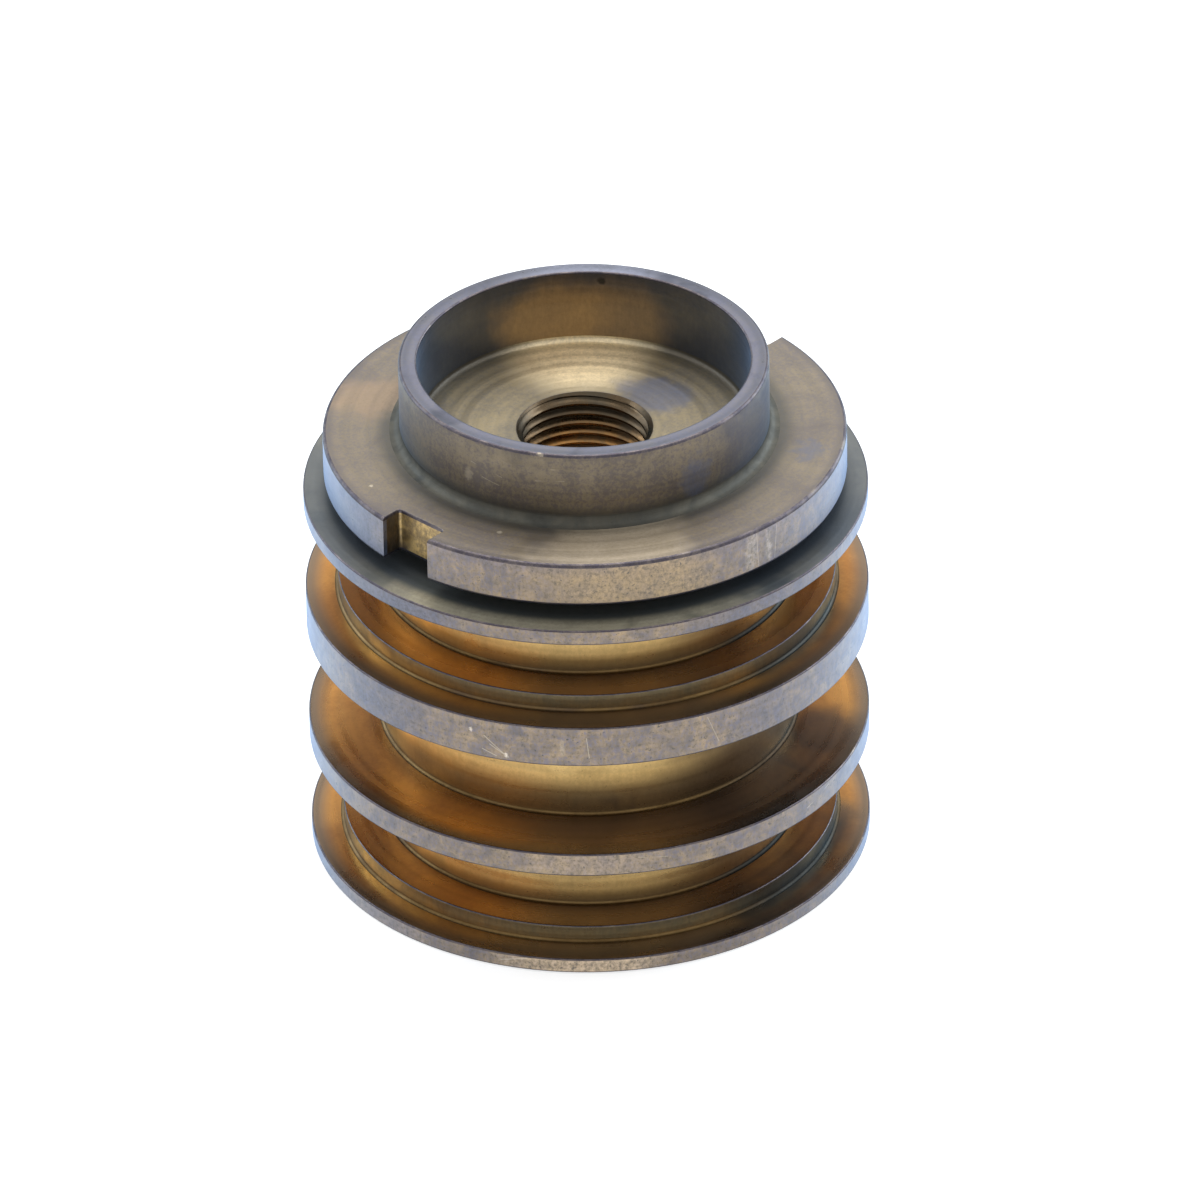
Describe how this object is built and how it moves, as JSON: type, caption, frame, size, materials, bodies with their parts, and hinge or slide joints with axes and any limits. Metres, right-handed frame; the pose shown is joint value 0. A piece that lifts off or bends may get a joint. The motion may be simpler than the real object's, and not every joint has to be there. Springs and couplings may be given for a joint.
{
  "type": "grooved piston",
  "caption": "Turned brass piston with seal grooves between thin lands, a notched flange and an open cup around a threaded rod hole.",
  "frame": {"origin": "centre of the base face, on the turning axis", "axes": "+Z along the turning axis, from the base towards the cup's mouth; the flange's two notches lie on +X and -X"},
  "size_m": [0.05, 0.05, 0.0483],
  "materials": {
    "tarnished_brass": "turned, tarnished brown-grey"
  },
  "bodies": {
    "root": {"piston_body": "tarnished_brass"}
  },
  "joints": []
}
